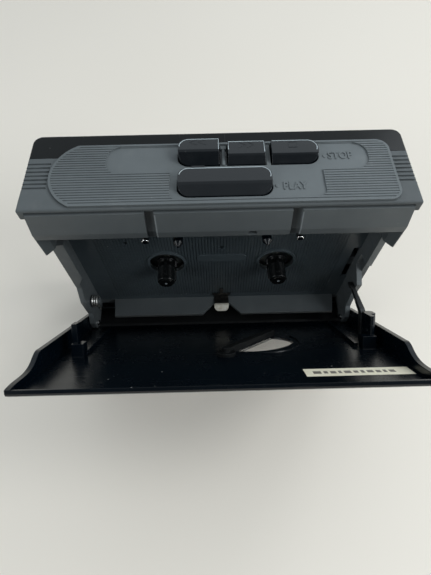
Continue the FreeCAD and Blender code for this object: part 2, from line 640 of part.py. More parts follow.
# ---- spindles, capstan and drive ----------------------------------------------------------
def spindle(x):
    """Hub with a bevelled tip and three drive fins, on a stem that goes back to its disc."""
    rear = DISC_Y[0]
    body = cyl_y(x, SPINDLE_Z, SPINDLE_R, SPINDLE_TIP_Y + 0.7, DECK_FRONT_Y - 0.6)
    at = Vector(x, SPINDLE_TIP_Y, SPINDLE_Z)
    tip = Part.makeCone(SPINDLE_R - 0.7, SPINDLE_R, 0.7, at, Vector(0, 1, 0))
    flange = cyl_y(x, SPINDLE_Z, 4.1, DECK_FRONT_Y - 0.6, DECK_FRONT_Y + 0.2)
    stem = cyl_y(x, SPINDLE_Z, 1.5, DECK_FRONT_Y, rear)
    fins = []
    fin_y = (SPINDLE_TIP_Y + 2.2, DECK_FRONT_Y - 0.5)
    for index in range(3):
        fin = box(x - 0.45, x + 0.45, *fin_y, SPINDLE_Z, SPINDLE_Z + 3.9)
        fin.rotate(Vector(x, 0, SPINDLE_Z), Vector(0, 1, 0), 120 * index)
        fins.append(fin)
    return fuse([body, tip, flange, stem] + fins)


def reel_disc(x):
    """Wheel with a felt-lined rim behind the chassis."""
    disc = cyl_y(x, SPINDLE_Z, DISC_R, *DISC_Y)
    ring = cyl_y(x, SPINDLE_Z, DISC_R - 1.6, DISC_Y[1] - 0.7, 9).cut(cyl_y(x, SPINDLE_Z, 4.0, -1, 9))
    return disc.cut(ring)


def idler_centre():
    """Place the idler so that it just reaches the capstan sleeve and the take-up disc."""
    d1 = PINION_R + IDLER_R + 0.1
    d2 = DISC_R + IDLER_R + 0.1
    dx, dz = LEFT_X - CAPSTAN_X, SPINDLE_Z - CAPSTAN_Z
    dist = math.hypot(dx, dz)
    along = (d1 * d1 - d2 * d2 + dist * dist) / (2 * dist)
    side = math.sqrt(max(d1 * d1 - along * along, 0.0))
    return (CAPSTAN_X + along * dx / dist - side * dz / dist,
            CAPSTAN_Z + along * dz / dist + side * dx / dist)


def idler_wheel():
    x, z = idler_centre()
    return cyl_y(x, z, IDLER_R, *DISC_Y).cut(cyl_y(x, z, 1.0 + RUN_GAP, -5, 9))


def idler_pin():
    x, z = idler_centre()
    return cyl_y(x, z, 1.0, CHASSIS_Y[1], DISC_Y[1] + 0.5)


def capstan():
    return steel_pin(CAPSTAN_X, FLYWHEEL_Y[1] + 0.2)


def capstan_bearing():
    """Brass bush pressed into the chassis."""
    bush = cyl_y(CAPSTAN_X, CAPSTAN_Z, 2.3, DECK_FRONT_Y - 0.5, CHASSIS_Y[1])
    return bush.cut(cyl_y(CAPSTAN_X, CAPSTAN_Z, CAPSTAN_R + 0.03, -20, 20))


def flywheel():
    """Heavy wheel with a belt groove and a sleeve that drives the idler."""
    wheel = cyl_y(CAPSTAN_X, CAPSTAN_Z, FLYWHEEL_R, *FLYWHEEL_Y)
    groove_r = FLYWHEEL_R - BELT_THICK
    groove = cyl_y(CAPSTAN_X, CAPSTAN_Z, 20, BELT_Y[0] - 0.1, BELT_Y[1] + 0.1)
    groove = groove.cut(cyl_y(CAPSTAN_X, CAPSTAN_Z, groove_r, 0, 20))
    dish = cyl_y(CAPSTAN_X, CAPSTAN_Z, 11.5, 0, FLYWHEEL_Y[0] + 1.2)
    dish = dish.cut(cyl_y(CAPSTAN_X, CAPSTAN_Z, 4.5, -5, 20))
    sleeve = cyl_y(CAPSTAN_X, CAPSTAN_Z, PINION_R, DISC_Y[0], FLYWHEEL_Y[0] + 0.5)
    body = fuse([wheel.cut(groove).cut(dish), sleeve])
    return body.cut(cyl_y(CAPSTAN_X, CAPSTAN_Z, CAPSTAN_R, -20, 20))


def motor():
    can = cyl_y(MOTOR_X, MOTOR_Z, MOTOR_R, -0.6, 6.8)
    can = can.makeFillet(0.8, [e for e in can.Edges if abs(e.CenterOfMass.y - 6.8) < 0.01])
    neck = cyl_y(MOTOR_X, MOTOR_Z, 2.4, 6.7, 7.2)
    return can.fuse(neck).cut(cyl_y(MOTOR_X, MOTOR_Z, 0.8, 3.0, 9.0))


def motor_pulley():
    shaft = cyl_y(MOTOR_X, MOTOR_Z, 0.75, 3.4, 10.6)
    pulley = cyl_y(MOTOR_X, MOTOR_Z, 3.4, 7.7, 10.5)
    groove = cyl_y(MOTOR_X, MOTOR_Z, 5, BELT_Y[0] - 0.1, BELT_Y[1] + 0.1)
    groove = groove.cut(cyl_y(MOTOR_X, MOTOR_Z, PULLEY_R, 0, 20))
    return fuse([shaft, pulley.cut(groove)])


def belt_loop(extra):
    """Face around the flywheel groove and the pulley groove, grown by a thickness."""
    r1, r2 = FLYWHEEL_R - BELT_THICK + extra, PULLEY_R + extra
    c1 = Vector(CAPSTAN_X, BELT_Y[0], CAPSTAN_Z)
    c2 = Vector(MOTOR_X, BELT_Y[0], MOTOR_Z)
    axis = c2.sub(c1)
    lean = math.acos((r1 - r2) / axis.Length)
    base = math.atan2(axis.z, axis.x)

    def on(centre, radius, angle):
        return centre.add(Vector(radius * math.cos(angle), 0, radius * math.sin(angle)))

    a1, a2 = on(c1, r1, base + lean), on(c1, r1, base - lean)
    b1, b2 = on(c2, r2, base + lean), on(c2, r2, base - lean)
    edges = [
        arc(a2, on(c1, r1, base + math.pi), a1),
        line(a1, b1),
        arc(b1, on(c2, r2, base), b2),
        line(b2, a2),
    ]
    return Part.Face(Part.Wire(edges))


def drive_belt():
    width = Vector(0, BELT_Y[1] - BELT_Y[0], 0)
    outer = belt_loop(0.05 + BELT_THICK * 0.8).extrude(width)
    return outer.cut(belt_loop(0.05).extrude(width))


BRACKET_POSTS = [(-42.5, 56.0), (-42.5, 81.5), (-2.3, 78.2)]


def flywheel_bracket():
    """Plate across the back of the flywheel with a thrust pad."""
    outline = [(-45, 53.5), (-40, 53.5), (-17, 66), (-0.5, 75.5), (-0.5, 84), (-45, 84)]
    plate = prism_y(outline, 11.5, 12.3)
    pad = cyl_y(CAPSTAN_X, CAPSTAN_Z, 2.6, 11.3, 12.3)
    return fuse([plate, pad])


def bracket_posts():
    return compound([cyl_y(x, z, 1.6, CHASSIS_Y[1], 11.5) for x, z in BRACKET_POSTS])


def chassis_plate():
    """Steel plate that carries the mechanism, with spring tabs bent out below the keys."""
    plate = box(-49.4, 49.4, *CHASSIS_Y, 20.5, DECK_TOP_Z)
    tabs = []
    for key, x, y in LEVERS.values():
        tabs.append(box(x - 2.2, x + 2.2, CHASSIS_Y[0], y + 2.2, SPRING_TAB_Z - 0.7, SPRING_TAB_Z))
    plate = fuse([plate] + tabs)
    cuts = [cyl_y(x, SPINDLE_Z, 1.5 + RUN_GAP, -5, 5) for x in (LEFT_X, RIGHT_X)]
    cuts.append(cyl_y(CAPSTAN_X, CAPSTAN_Z, 2.3, -5, 5))
    cuts.append(cyl_y(*PINCH_PIVOT, 1.2, -5, 5))
    cuts += [cyl_y(x, z, 0.8, -5, 5) for x, z in CHASSIS_SCREWS]
    return plate.cut(compound(cuts))


def chassis_screws():
    tip = DECK_FRONT_Y + 0.4
    return compound([pan_screw(x, z, 0.2, tip, 0.8, 1.8, 0.9) for x, z in CHASSIS_SCREWS])


# ---- playback head and pinch roller -------------------------------------------------------
def head_plate():
    """Sliding plate with an arm that reaches forward over the deck to the head."""
    plate = box(SHIFT_X - 20, SHIFT_X + 20, -2.5, -1.8, 74.0, 81.6)
    riser = box(SHIFT_X - 8, SHIFT_X + 8, -2.5, -1.8, 81.0, 83.6)
    arm = box(SHIFT_X - 8, SHIFT_X + 8, -12.4, -1.8, 83.0, 83.6)
    shape = fuse([plate, riser, arm])
    holes = [cyl_z(SHIFT_X + dx, -8.4, 0.6, 80, 90) for dx in (-5.2, 5.2)]
    return shape.cut(compound(holes))


def playback_head():
    """Head block with a rounded face towards the tape and a tape guide fork."""
    block = box(SHIFT_X - 4.0, SHIFT_X + 4.0, -12.4, -4.6, 77.6, 83.0)
    face = cyl_y(SHIFT_X, 82.4, 6.0, -12.4, -4.6).common(block)
    fork = box(SHIFT_X - 5.6, SHIFT_X - 4.0, -11.9, -5.1, 77.2, 80.6)
    slot = box(SHIFT_X - 6, SHIFT_X - 3.9, -10.4, -6.6, 76, 78.8)
    return fuse([face, fork.cut(slot)])


def head_screws():
    screws = []
    for dx in (-5.2, 5.2):
        head = cyl_z(SHIFT_X + dx, -8.4, 1.2, 83.6, 84.3)
        shank = cyl_z(SHIFT_X + dx, -8.4, 0.6, 81.4, 83.6)
        slot = box(SHIFT_X + dx - 1.0, SHIFT_X + dx + 1.0, -8.6, -8.2, 84.0, 85)
        screws.append(head.fuse(shank).cut(slot))
    return compound(screws)


def pinch_pivot():
    return cyl_y(*PINCH_PIVOT, 1.2, -5.4, CHASSIS_Y[1])


def pinch_arm():
    """Flat arm with the roller's axle."""
    (x0, z0), (x1, z1) = PINCH_PIVOT, PINCH_ROLLER
    length = math.hypot(x1 - x0, z1 - z0)
    bar = fuse([box(0, length, -4.9, -4.2, -2.0, 2.0), cyl_y(0, 0, 2.4, -4.9, -4.2),
                cyl_y(length, 0, 2.0, -4.9, -4.2), cyl_y(length, 0, 0.8, -11.4, -4.9)])
    bar.rotate(Vector(0, 0, 0), Vector(0, 1, 0), -math.degrees(math.atan2(z1 - z0, x1 - x0)))
    bar.translate(Vector(x0, 0, z0))
    return bar.cut(cyl_y(x0, z0, 1.2 + RUN_GAP, -9, 0))


def pinch_roller():
    x, z = PINCH_ROLLER
    return cyl_y(x, z, 4.0, -11.0, -5.1).cut(cyl_y(x, z, 0.8 + RUN_GAP, -20, 0))


# ---- electronics, battery and controls ----------------------------------------------------
def circuit_board():
    board = box(-49.0, 43.0, *BOARD_Y, 21.0, 52.0)
    tab = box(36.0, 49.0, *BOARD_Y, 56.0, 78.0)
    link = box(36.0, 43.0, *BOARD_Y, 50.0, 58.0)
    return fuse([board, tab, link]).cut(cyl_y(WHEEL_X, WHEEL_Z, 3.05, 5, 15))


def amplifier_chip():
    body = box(-8.0, 2.0, 8.9, BOARD_Y[0], 28.0, 34.0)
    legs = []
    for index in range(8):
        x = -7.2 + index * 1.2
        for z in (26.8, 34.0):
            legs.append(box(x, x + 0.4, 9.6, BOARD_Y[0], z, z + 1.2))
    return fuse([body] + legs)


def capacitors():
    cans = []
    for x, z in ((-36.0, 30.0), (-28.0, 30.0), (12.0, 26.0), (34.0, 28.0)):
        can = cyl_y(x, z, 2.6, 5.2, BOARD_Y[0])
        cans.append(can.makeFillet(0.4, [e for e in can.Edges if abs(e.CenterOfMass.y - 5.2) < 0.01]))
    return compound(cans)


def volume_wheel():
    """Thumbwheel with a notched rim that stands a little out of the side."""
    wheel = cyl_y(WHEEL_X, WHEEL_Z, WHEEL_R, 7.6, 10.0)
    notches = []
    rim_z = WHEEL_Z + WHEEL_R
    for index in range(30):
        notch = box(WHEEL_X - 0.3, WHEEL_X + 0.3, 7, 11, rim_z - 0.35, rim_z + 1)
        notch.rotate(Vector(WHEEL_X, 0, WHEEL_Z), Vector(0, 1, 0), 12 * index)
        notches.append(notch)
    return wheel.cut(compound(notches)).cut(cyl_y(WHEEL_X, WHEEL_Z, 1.2 + RUN_GAP, 5, 12))


def volume_shaft():
    return cyl_y(WHEEL_X, WHEEL_Z, 1.2, 7.0, 11.8).fuse(cyl_y(WHEEL_X, WHEEL_Z, 3.0, 10.4, 11.8))


def headphone_jack():
    """Socket block with its round collar in the side wall."""
    block = box(43.6, 55.4, 6.5, 12.5, JACK_Z - 3.0, JACK_Z + 3.0)
    collar = cyl_x(JACK_Y, JACK_Z, 2.9, 55.4, HALF_W)
    return block.fuse(collar).cut(cyl_x(JACK_Y, JACK_Z, JACK_BORE_R, 44.6, 60))


def battery_tray():
    outer = box(-54.4, 54.4, DECK_BACK_Y + 0.3, 12.9, WALL, 18.8)
    hollow = box(-53.6, 53.6, DECK_BACK_Y + 1.1, 14.0, WALL + 0.8, 18.0)
    ledge = box(-60, 60, -20, 20, 0, 1)
    return outer.cut(hollow).cut(ledge)


def battery_spring_contact():
    spring = coil(0, 0, 0, 5.6, 2.6, 0.35, 4)
    spring.rotate(Vector(0, 0, 0), Vector(0, 1, 0), 90)
    spring.translate(Vector(-53.2, 5.4, 10.4))
    plate = box(-53.6, -53.2, 0.4, 10.4, 5.4, 15.4)
    return compound([spring, plate])


def battery_plate_contact():
    return box(53.2, 53.6, 0.4, 10.4, 5.4, 15.4)


def battery_door():
    """Sliding cover with finger ridges, set flush in the rear."""
    plate = box(-45.7, 38.0, 13.8, HALF_D, 3.1, 17.9)
    grooves = []
    for index in range(6):
        x = 24.0 + 1.6 * index
        grooves.append(box(x, x + 0.8, HALF_D - 0.4, 16, 6.0, 15.0))
    return plate.cut(compound(grooves))


def case_screws():
    return compound([pan_screw(x, z, 14.7, 5.0, 0.95, 2.0, 0.8) for x, z in BOSS_POINTS])


def nodes():
    parts = {
        "case_shell": case_shell(),
        "rear_cover": rear_cover(),
        "key_panel": key_panel(),
        "front_frame": front_frame(),
        "deck_panel": deck_panel(),
        "cassette_spring": cassette_spring(),
        "locating_pins": locating_pins(),
        "guide_pin": guide_pin(),
        "door": door(),
        "door_window": door_window(),
        "window_bar": window_bar(),
        "door_label": door_label(),
        "door_hinge_pins": door_hinge_pins(),
        "door_stop_arm": door_stop_arm(),
        "door_torsion_spring": door_torsion_spring(),
        "take_up_spindle": spindle(LEFT_X),
        "supply_spindle": spindle(RIGHT_X),
        "take_up_disc": reel_disc(LEFT_X),
        "supply_disc": reel_disc(RIGHT_X),
        "idler_wheel": idler_wheel(),
        "idler_pin": idler_pin(),
        "capstan": capstan(),
        "capstan_bearing": capstan_bearing(),
        "flywheel": flywheel(),
        "flywheel_bracket": flywheel_bracket(),
        "bracket_posts": bracket_posts(),
        "motor": motor(),
        "motor_pulley": motor_pulley(),
        "drive_belt": drive_belt(),
        "chassis_plate": chassis_plate(),
        "chassis_screws": chassis_screws(),
        "head_plate": head_plate(),
        "playback_head": playback_head(),
        "head_screws": head_screws(),
        "pinch_pivot": pinch_pivot(),
        "pinch_arm": pinch_arm(),
        "pinch_roller": pinch_roller(),
        "circuit_board": circuit_board(),
        "amplifier_chip": amplifier_chip(),
        "capacitors": capacitors(),
        "volume_wheel": volume_wheel(),
        "volume_shaft": volume_shaft(),
        "headphone_jack": headphone_jack(),
        "battery_tray": battery_tray(),
        "battery_spring_contact": battery_spring_contact(),
        "battery_plate_contact": battery_plate_contact(),
        "battery_door": battery_door(),
        "case_screws": case_screws(),
    }
    parts["door_stop_arm"] = parts["door_stop_arm"].cut(parts["door"])
    for name in KEYS:
        parts[name] = key_cap(name)
    for name in LEVERS:
        parts[name] = key_lever(name)
        parts[name.replace("lever", "spring")] = key_spring(name)
    return parts


os.makedirs("parts", exist_ok=True)
for node, shape in nodes().items():
    shape.exportStep(f"parts/{node}.step")
    print(f"{node:26s} valid={shape.isValid()} solids={len(shape.Solids)} volume={shape.Volume:.1f}")
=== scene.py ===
"""Looks, light and camera for the pocket cassette player.  Sizes in code are millimetres."""

import json
import math

import bmesh
import bpy
from mathutils import Matrix, Vector


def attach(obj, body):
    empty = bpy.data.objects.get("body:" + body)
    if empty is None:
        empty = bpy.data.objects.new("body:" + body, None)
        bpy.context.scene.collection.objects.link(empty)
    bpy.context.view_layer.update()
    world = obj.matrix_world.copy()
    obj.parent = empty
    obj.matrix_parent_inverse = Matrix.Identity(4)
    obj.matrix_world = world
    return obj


MM = 0.001
RANGE_SOCKETS = ("From Min", "From Max", "To Min", "To Max")

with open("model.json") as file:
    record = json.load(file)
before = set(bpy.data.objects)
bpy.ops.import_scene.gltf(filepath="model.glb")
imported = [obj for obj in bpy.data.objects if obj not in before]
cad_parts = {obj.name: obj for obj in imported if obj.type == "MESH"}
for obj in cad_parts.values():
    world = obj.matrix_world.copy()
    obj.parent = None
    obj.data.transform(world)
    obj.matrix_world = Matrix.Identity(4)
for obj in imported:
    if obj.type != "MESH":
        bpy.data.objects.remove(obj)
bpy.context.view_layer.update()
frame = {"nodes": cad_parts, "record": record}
nodes = frame["nodes"]

# ---- sizes shared with the CAD model ------------------------------------------------------
HINGE_Y, HINGE_Z = -15.2, 12.4
DOOR_ANGLE = math.radians(37.2)
DOOR_OUT, DOOR_SKIN = -3.9, 1.4
DOOR_IN_FACE = DOOR_OUT + DOOR_SKIN
RECESS_Z = 88.25
WELL_Z = 88.0                       # base of what stands between the keys
KEY_TOP_Z = 90.5
REWIND_TOP_Z = 91.7
REEL_X = {"take_up_reel": -20.25, "supply_reel": 22.25}
SPINDLE_TIP_Y, SPINDLE_Z = -13.2, 41.9
BAND_LOW_Z, BAND_HIGH_Z = 76.9, 85.6
# bounds of the painted shade on the case's low front lip
LIP_TOP_Z, LIP_FRONT_Y, LIP_HALF_WIDTH = 7.3, -3.0, 55.6
SPRING_TIP_Y = -7.3                 # the cassette spring is pale in front of this
# KEY_ARC_R is the radius of the painted highlight line at a key's round end
KEY_ARC_R = 2.85                    # the light line of a key's round end
# painted shade: panel and frame darken towards their left end over this half width
PANEL_HALF_X = 45.0                 # half the width over which the panel's tone changes

# ---- camera, in millimetres and degrees ---------------------------------------------------
CAMERA_PLACE = (-2.34, -90.88, 178.68)
CAMERA_DOWN, CAMERA_ROLL, CAMERA_YAW = 61.09, -0.91, -0.55
CAMERA_LENS, CAMERA_SENSOR = 25.97, 36.0

# ---- colours ------------------------------------------------------------------------------
COOL = (0.89, 1.0, 1.04)
# BLACK is mixed in as painted shade over the left ends of panel and frame
BLACK = (0.0, 0.0, 0.0, 1.0)
DUST = (0.42, 0.41, 0.39, 1.0)
# painted shade and painted highlight colours for the grooves of the band
PAINTED_GROOVE_SHADE = (0.006, 0.007, 0.008, 1.0)
PAINTED_GROOVE_HIGHLIGHT = (0.24, 0.26, 0.27, 1.0)
SHADE = (0.004, 0.0045, 0.005, 1.0)
DAYLIGHT = (0.95, 1.0, 1.03)


# ---- shader building ----------------------------------------------------------------------
class Shader:
    """A Principled material whose inputs are fed from patterns in the object's own space."""

    def __init__(self, name, **sockets):
        self.material = bpy.data.materials.new(name)
        self.material.use_nodes = True
        self.tree = self.material.node_tree
        self.bsdf = self.tree.nodes["Principled BSDF"]
        self.place = self.node("ShaderNodeTexCoord").outputs["Object"]
        for key, value in sockets.items():
            self.bsdf.inputs[key.replace("_", " ")].default_value = value

    def node(self, kind, **values):
        made = self.tree.nodes.new(kind)
        for key, value in values.items():
            setattr(made, key, value)
        return made

    def feed(self, made, index, value):
        if isinstance(value, bpy.types.NodeSocket):
            self.tree.links.new(value, made.inputs[index])
        elif value is not None:
            made.inputs[index].default_value = value

    def warp(self, stretch, turn=(0, 0, 0)):
        made = self.node("ShaderNodeMapping")
        self.feed(made, "Vector", self.place)
        self.feed(made, "Scale", stretch)
        self.feed(made, "Rotation", turn)
        return made.outputs["Vector"]

    def noise(self, scale, detail=2.0, rough=0.5, vector=None):
        made = self.node("ShaderNodeTexNoise")
        self.feed(made, "Vector", vector or self.place)
        self.feed(made, "Scale", scale)
        self.feed(made, "Detail", detail)
        self.feed(made, "Roughness", rough)
        return made.outputs["Fac"]

    def cells(self, scale, vector=None, feature="F1"):
        made = self.node("ShaderNodeTexVoronoi", feature=feature)
        self.feed(made, "Vector", vector or self.place)
        self.feed(made, "Scale", scale)
        return made

    def maths(self, operation, a, b=None):
        made = self.node("ShaderNodeMath", operation=operation)
        self.feed(made, 0, a)
        self.feed(made, 1, b)
        return made.outputs[0]

    def span(self, value, low, high, to_low=0.0, to_high=1.0):
        made = self.node("ShaderNodeMapRange")
        made.clamp = True
        self.feed(made, "Value", value)
        for key, number in zip(RANGE_SOCKETS, (low, high, to_low, to_high)):
            self.feed(made, key, number)
        return made.outputs["Result"]

    def mix(self, factor, a, b):
        made = self.node("ShaderNodeMix", data_type="RGBA")
        self.feed(made, 0, factor)
        self.feed(made, 6, a)
        self.feed(made, 7, b)
        return made.outputs[2]

    def axis(self, letter):
        made = self.node("ShaderNodeSeparateXYZ")
        self.feed(made, 0, self.place)
        return made.outputs[letter]

    def rounded(self, radius):
        made = self.node("ShaderNodeBevel", samples=6)
        self.feed(made, "Radius", radius * MM)
        return made.outputs["Normal"]

    def edge(self, radius):
        """1 on edges within about the radius, 0 on flat faces."""
        true = self.node("ShaderNodeNewGeometry").outputs["Normal"]
        made = self.node("ShaderNodeVectorMath", operation="DOT_PRODUCT")
        self.feed(made, 0, self.rounded(radius))
        self.feed(made, 1, true)
        away = self.maths("SUBTRACT", 1.0, made.outputs["Value"])
        return self.span(away, 0.02, 0.25)

    def bump(self, height, distance, strength=1.0, normal=None):
        made = self.node("ShaderNodeBump")
        self.feed(made, "Height", height)
        self.feed(made, "Distance", distance * MM)
        self.feed(made, "Strength", strength)
        self.feed(made, "Normal", normal)
        return made.outputs["Normal"]

    def specks(self, scale, share, size):
        """Mask of small dots in a share of the cells of a grid."""
        found = self.cells(scale)
        near = self.span(found.outputs["Distance"], size * 0.6, size, 1.0, 0.0)
        made = self.node("ShaderNodeSeparateColor")
        self.feed(made, 0, found.outputs["Color"])
        chosen = self.maths("GREATER_THAN", made.outputs[0], 1.0 - share)
        return self.maths("MULTIPLY", near, chosen)

    def set(self, key, value):
        self.feed(self.bsdf, key, value)

    def upward(self, low, high):
        """0 to 1 as the face turns from a low to a high upward part of its normal."""
        made = self.node("ShaderNodeSeparateXYZ")
        self.feed(made, 0, self.node("ShaderNodeNewGeometry").outputs["Normal"])
        return self.span(made.outputs["Z"], low, high)


def grey(value, tint=(1.0, 1.0, 1.0)):
    """A tinted grey as a colour with alpha."""
    return (value * tint[0], value * tint[1], value * tint[2], 1.0)


def dark_below(s, tone, height, front, half_width):
    """Darken what lies low, in front and between the side walls, as painted shade."""
    def under(value, top):
        return s.span(value, (top - 0.2) * MM, top * MM, 1.0, 0.0)

    low = under(s.axis("Z"), height)
    ahead = under(s.axis("Y"), front)
    across = under(s.maths("ABSOLUTE", s.axis("X")), half_width)
    mask = s.maths("MULTIPLY", s.maths("MULTIPLY", low, ahead), across)
    return s.mix(mask, tone, SHADE)


def grooved(s, tone, centres, low, high):
    """Grooves across the band: painted shade on the left of each floor and a painted highlight line on
    the right edge.
    """
    above = s.span(s.axis("Z"), low * MM, (low + 0.2) * MM)
    below = s.span(s.axis("Z"), high * MM, (high + 0.2) * MM, 1.0, 0.0)
    ahead = s.span(s.axis("Y"), -12.5 * MM, -12.0 * MM, 1.0, 0.0)
    band = s.maths("MULTIPLY", s.maths("MULTIPLY", above, below), ahead)

    def between(away, rise, fall):
        start = s.span(away, rise[0] * MM, rise[1] * MM)
        return s.maths("MULTIPLY", start, s.span(away, fall[0] * MM, fall[1] * MM, 1.0, 0.0))

    for centre in centres:
        away = s.maths("SUBTRACT", s.axis("X"), centre * MM)
        shade = s.maths("MULTIPLY", between(away, (-1.5, -1.35), (0.1, 1.2)), band)
        light = s.maths("MULTIPLY", between(away, (1.3, 1.45), (1.75, 1.9)), band)
        # painted shade in the groove, then a painted highlight line at its right edge
        tone = s.mix(s.maths("MULTIPLY", shade, 0.85), tone, PAINTED_GROOVE_SHADE)
        tone = s.mix(s.maths("MULTIPLY", light, 0.6), tone, PAINTED_GROOVE_HIGHLIGHT)
    return tone


def moulded(name, level, tint=COOL, rough=0.55, wear=0.5, dust=0.3, bevel=0.25,
            settles=(-0.2, 0.8), film=0.2, lip=None, groove=None, across=None, **more):
    """Fine textured plastic: cloudy tone, grain, bright worn edges and dust.

    across darkens the left end with painted shade, lip paints shade over a low front edge and groove
    paints shade and a highlight line into the grooves of the band.
    """
    s = Shader(name, IOR=1.5, **more)
    cloud = s.noise(35.0, 4.0, 0.6)
    tone = s.mix(s.span(cloud, 0.3, 0.7), grey(level * 0.9, tint), grey(level * 1.12, tint))
    worn = s.maths("MULTIPLY", s.edge(bevel), s.span(s.noise(420.0, 3.0), 0.35, 0.65))
    tone = s.mix(s.maths("MULTIPLY", worn, wear), tone, grey(level * 2.6 + 0.05, tint))
    specks = s.specks(420.0, 0.10, 0.10)
    haze = s.maths("MULTIPLY", s.span(s.noise(130.0, 5.0, 0.7), 0.52, 0.75), film)
    dusty = s.maths("MULTIPLY", s.maths("MAXIMUM", specks, haze), s.upward(*settles))
    tone = s.mix(s.maths("MULTIPLY", dusty, dust), tone, DUST)
    # painted shade: darkest at the left end, fading out towards the right
    if across:
        to_right = s.span(s.axis("X"), -PANEL_HALF_X * MM, PANEL_HALF_X * MM)
        tone = s.mix(to_right, s.mix(1.0 - across, tone, BLACK), tone)
    # painted shade over the low front edge
    if lip:
        tone = dark_below(s, tone, *lip)
    # painted shade and painted highlight lines in the grooves of the band
    if groove:
        tone = grooved(s, tone, *groove)
    s.set("Base Color", tone)
    fine = s.noise(2600.0, 2.0, 0.6)
    s.set("Roughness", s.span(s.noise(220.0, 4.0), 0.3, 0.7, rough - 0.07, rough + 0.08))
    s.set("Normal", s.bump(fine, 0.02, 0.6, s.rounded(bevel)))
    return s.material


def polished(name, level, tint=COOL, rough=0.12, dust=0.3, scratch=0.5, bevel=0.3, grime=0.3, **more):
    """Glossy plastic with hairline scratches, faint smears and a little dust."""
    s = Shader(name, IOR=1.5, **more)
    tone = s.mix(s.span(s.noise(30.0, 3.0), 0.3, 0.7), grey(level * 0.8, tint), grey(level * 1.25, tint))
    specks = s.specks(330.0, 0.09, 0.085)
    dusty = s.maths("MULTIPLY", specks, dust)
    lines = s.noise(60.0, 2.0, 0.5, s.warp((1.0, 38.0, 38.0), (0.0, 0.0, 0.5)))
    cross = s.noise(60.0, 2.0, 0.5, s.warp((34.0, 1.0, 34.0), (0.3, 0.2, 0.9)))
    hair = s.maths("MAXIMUM", s.span(lines, 0.72, 0.78), s.span(cross, 0.72, 0.78))
    tone = s.mix(s.maths("MULTIPLY", hair, 0.12 * scratch), tone, grey(0.35))
    tone = s.mix(dusty, tone, (0.42, 0.42, 0.40, 1.0))
    s.set("Base Color", tone)
    smear = s.span(s.noise(70.0, 5.0, 0.65), 0.4, 0.75, 0.0, grime * 0.25)
    uneven = s.maths("ADD", smear, s.maths("MULTIPLY", hair, 0.3 * scratch))
    s.set("Roughness", s.maths("ADD", uneven, rough))
    ripple = s.noise(55.0, 1.0)
    s.set("Normal", s.bump(ripple, 0.02, 0.35, s.rounded(bevel)))
    return s.material


def metal(name, colour, rough, brushed=(1.0, 1.0, 30.0), contrast=0.25):
    """Brushed metal with stains; brushed stretches its lines along the axes."""
    s = Shader(name, Metallic=1.0)
    lines = s.noise(90.0, 4.0, 0.6, s.warp(brushed))
    dark = tuple(c * (1 - contrast) for c in colour) + (1.0,)
    tone = s.mix(s.span(lines, 0.3, 0.7), dark, tuple(colour) + (1.0,))
    stain = s.span(s.noise(240.0, 5.0, 0.7), 0.58, 0.75)
    tone = s.mix(s.maths("MULTIPLY", stain, 0.4), tone, tuple(c * 0.45 for c in colour) + (1.0,))
    s.set("Base Color", tone)
    s.set("Roughness", s.span(lines, 0.3, 0.7, rough * 0.8, rough * 1.3))
    s.set("Normal", s.bump(lines, 0.01, 0.4, s.rounded(0.1)))
    return s.material


def label_paper():
    """Aged cream label with soft stains."""
    s = Shader("label_paper", IOR=1.4)
    fibre = s.noise(900.0, 4.0, 0.7)
    stain = s.noise(120.0, 5.0, 0.65)
    tone = s.mix(s.span(stain, 0.35, 0.7), (0.92, 0.86, 0.68, 1.0), (0.78, 0.71, 0.54, 1.0))
    tone = s.mix(s.span(fibre, 0.4, 0.7, 0.0, 0.35), tone, (0.90, 0.88, 0.76, 1.0))
    s.set("Base Color", tone)
    s.set("Roughness", s.span(stain, 0.3, 0.7, 0.45, 0.7))
    s.set("Normal", s.bump(fibre, 0.02, 0.5))
    return s.material


def clear_pane():
    """Window pane with a faint haze."""
    s = Shader("clear_pane", IOR=1.1, Transmission_Weight=1.0)
    haze = s.noise(140.0, 5.0, 0.6)
    clean, dull = (0.97, 0.97, 0.96, 1.0), (0.90, 0.90, 0.88, 1.0)
    s.set("Base Color", s.mix(s.span(haze, 0.4, 0.7), clean, dull))
    s.set("Roughness", s.span(haze, 0.4, 0.75, 0.02, 0.09))
    s.set("Normal", s.bump(s.noise(40.0, 1.0), 0.01, 0.3))
    return s.material


def rubber():
    """Black rubber with a chalky bloom."""
    s = Shader("rubber", IOR=1.45)
    chalk = s.noise(320.0, 4.0, 0.65)
    clean, bloom = (0.012, 0.012, 0.013, 1.0), (0.045, 0.044, 0.042, 1.0)
    s.set("Base Color", s.mix(s.span(chalk, 0.4, 0.75), clean, bloom))
    s.set("Roughness", s.span(chalk, 0.3, 0.7, 0.62, 0.85))
    s.set("Normal", s.bump(s.noise(1500.0, 3.0), 0.02, 0.7, s.rounded(0.15)))
    return s.material


def board_green():
    """Solder resist over copper traces."""
    s = Shader("board_green", IOR=1.5)
    trace = s.cells(260.0, s.warp((1.0, 0.2, 1.6)), "DISTANCE_TO_EDGE")
    line = s.span(trace.outputs["Distance"], 0.05, 0.09, 1.0, 0.0)
    tone = s.mix(line, (0.010, 0.075, 0.022, 1.0), (0.035, 0.16, 0.05, 1.0))
    s.set("Base Color", tone)
    s.set("Roughness", s.span(s.noise(200.0, 3.0), 0.3, 0.7, 0.25, 0.4))
    s.set("Normal", s.bump(line, 0.03, 0.5))
    return s.material


